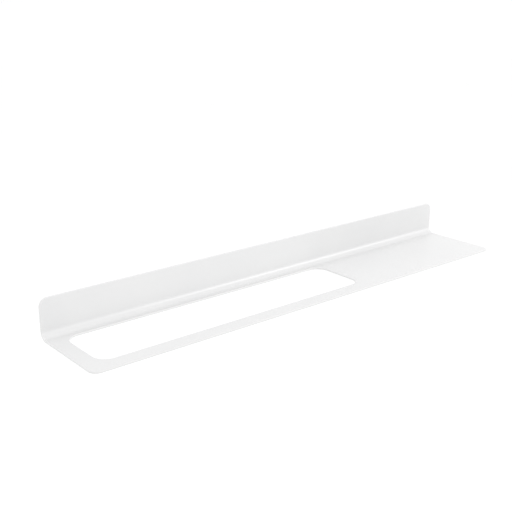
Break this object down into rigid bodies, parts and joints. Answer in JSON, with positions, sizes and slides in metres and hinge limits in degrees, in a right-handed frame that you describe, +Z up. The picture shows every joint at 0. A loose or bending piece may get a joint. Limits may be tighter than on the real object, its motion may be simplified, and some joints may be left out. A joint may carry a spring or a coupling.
{
  "type": "wall shelf",
  "caption": "Slim white wall shelf bent from sheet metal, with a low upstand along the wall and a long towel slot, hung on concealed hook brackets.",
  "frame": {"origin": "on the wall's surface, midway between the two brackets, on the line of the wall screws, 18 mm above the tray's underside", "axes": "+X along the shelf, to the right for a person facing the wall; +Y into the wall; +Z up"},
  "size_m": [0.6, 0.1486, 0.0445],
  "materials": {
    "white_powder_coat": "fine matt white powder coat on sheet steel",
    "zinc_plated_steel": "bright zinc plated steel",
    "grey_nylon": "moulded grey nylon",
    "grey_silicone": "soft translucent grey silicone, modelled opaque"
  },
  "bodies": {
    "wall_side": {"wall_bracket_left": "zinc_plated_steel", "wall_bracket_right": "zinc_plated_steel", "wall_screw_left_outer": "zinc_plated_steel", "wall_screw_left_inner": "zinc_plated_steel", "wall_screw_right_outer": "zinc_plated_steel", "wall_screw_right_inner": "zinc_plated_steel", "washer_left_outer": "zinc_plated_steel", "washer_left_inner": "zinc_plated_steel", "washer_right_outer": "zinc_plated_steel", "washer_right_inner": "zinc_plated_steel", "wall_plug_left_outer": "grey_nylon", "wall_plug_left_inner": "grey_nylon", "wall_plug_right_outer": "grey_nylon", "wall_plug_right_inner": "grey_nylon"},
    "shelf": {"shelf_plate": "white_powder_coat", "hanger_left": "white_powder_coat", "hanger_right": "white_powder_coat", "bumper_left": "grey_silicone", "bumper_middle": "grey_silicone", "bumper_right": "grey_silicone"}
  },
  "joints": [
    {"name": "shelf_lift", "type": "slide", "parent": "wall_side", "child": "shelf", "axis": [0, 0, 1], "range_m": [0, 0.01]}
  ]
}
